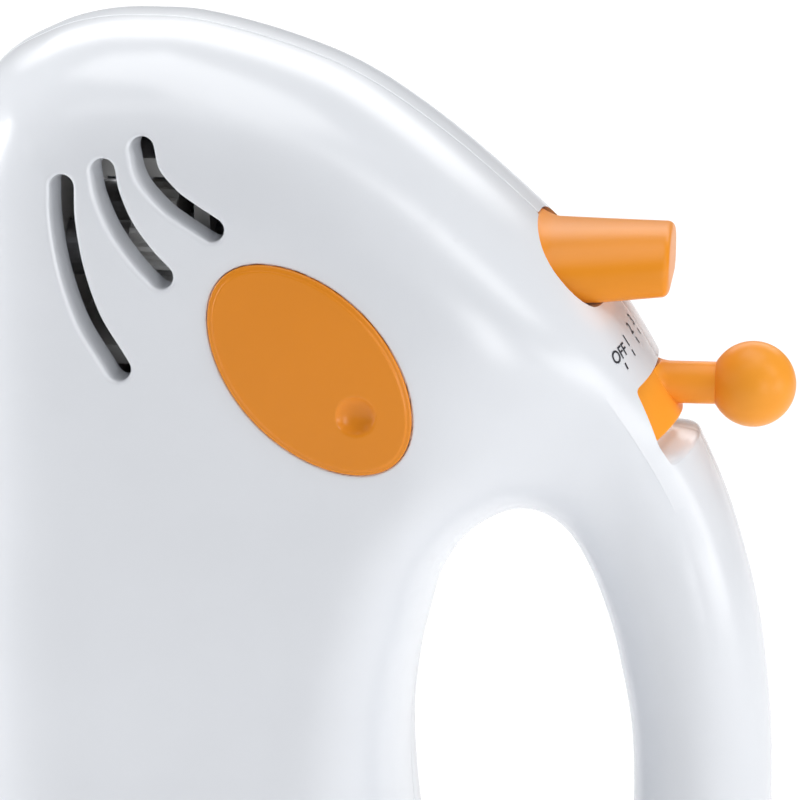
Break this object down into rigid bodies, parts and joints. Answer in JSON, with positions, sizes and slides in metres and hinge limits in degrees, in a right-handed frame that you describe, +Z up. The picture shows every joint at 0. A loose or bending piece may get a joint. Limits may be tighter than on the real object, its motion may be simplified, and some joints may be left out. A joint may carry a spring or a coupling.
{
  "type": "hand mixer",
  "caption": "Upright hand mixer standing on its heel, with a closed-loop handle, ball-ended speed lever, eject button and a pair of wire beaters.",
  "frame": {"origin": "on the floor under the middle of the heel's feet", "axes": "+Z up towards the nose, +X towards the handle, -X the way the beaters point, -Y the mixer's left side"},
  "size_m": [0.2938, 0.0754, 0.2097],
  "materials": {
    "white_shell": "gloss",
    "white_trim": "gloss",
    "orange": "gloss",
    "dark_plastic": "matte",
    "grey_plastic": "matte",
    "board_green": "satin",
    "foot_rubber": "matte",
    "chrome_steel": "polished",
    "steel": "brushed",
    "laminations": "satin",
    "copper": "lacquered"
  },
  "bodies": {
    "housing": {"casing_left": "white_shell", "casing_right": "white_shell", "badge_left": "orange", "badge_right": "orange", "heel_plate": "white_trim", "foot_1": "foot_rubber", "foot_2": "foot_rubber", "foot_3": "foot_rubber", "foot_4": "foot_rubber", "foot_5": "foot_rubber", "screw_1": "steel", "screw_2": "steel", "screw_3": "steel", "screw_4": "steel", "motor_frame": "grey_plastic", "gearbox_frame": "grey_plastic", "motor_stator": "laminations", "field_coil_left": "copper", "field_coil_right": "copper", "brush_left": "dark_plastic", "brush_right": "dark_plastic", "control_board": "board_green", "suppressor": "dark_plastic", "speed_switch": "dark_plastic", "lever_well": "white_trim", "lever_pin": "steel", "socket_ring_left": "white_trim", "socket_ring_right": "white_trim", "cord_inlet": "grey_plastic", "eject_spring": "steel"},
    "rotor": {"motor_shaft": "steel", "armature": "laminations", "winding_lower": "copper", "winding_upper": "copper", "commutator": "copper", "fan": "grey_plastic", "worm": "steel"},
    "drive_left": {"spindle_left": "steel", "drive_wheel_left": "grey_plastic"},
    "drive_right": {"spindle_right": "steel", "drive_wheel_right": "grey_plastic"},
    "beater_left": {"beater_shaft_left": "chrome_steel", "beater_cage_left": "chrome_steel"},
    "beater_right": {"beater_shaft_right": "chrome_steel", "beater_cage_right": "chrome_steel"},
    "ejector": {"eject_button": "orange", "eject_fork": "grey_plastic"},
    "lever": {"speed_lever": "orange"}
  },
  "joints": [
    {"name": "motor_spin", "type": "hinge", "parent": "housing", "child": "rotor", "pos_m": [-0.025, 0, 0.12], "axis": [0, 0, 1], "continuous": true},
    {"name": "drive_left_spin", "type": "hinge", "parent": "housing", "child": "drive_left", "pos_m": [-0.025, -0.017, 0.17], "axis": [1, 0, 0], "continuous": true},
    {"name": "drive_right_spin", "type": "hinge", "parent": "housing", "child": "drive_right", "pos_m": [-0.025, 0.017, 0.17], "axis": [1, 0, 0], "continuous": true},
    {"name": "eject_press", "type": "slide", "parent": "housing", "child": "ejector", "axis": [-1, 0, 0], "range_m": [0, 0.0058], "stiffness_N_per_m": 300},
    {"name": "beater_left_release", "type": "slide", "parent": "drive_left", "child": "beater_left", "axis": [-1, 0, 0], "range_m": [0, 0.0058]},
    {"name": "beater_right_release", "type": "slide", "parent": "drive_right", "child": "beater_right", "axis": [-1, 0, 0], "range_m": [0, 0.0058]},
    {"name": "speed_select", "type": "hinge", "parent": "housing", "child": "lever", "pos_m": [0.0473, 0, 0.1254], "axis": [-0.518, 0, 0.8554], "range_deg": [0, 28.5]}
  ],
  "couplings": [
    {"joint": "drive_left_spin", "follows": "motor_spin", "ratio": 0.083333},
    {"joint": "drive_right_spin", "follows": "motor_spin", "ratio": -0.083333},
    {"joint": "beater_left_release", "follows": "eject_press", "ratio": 1},
    {"joint": "beater_right_release", "follows": "eject_press", "ratio": 1}
  ]
}
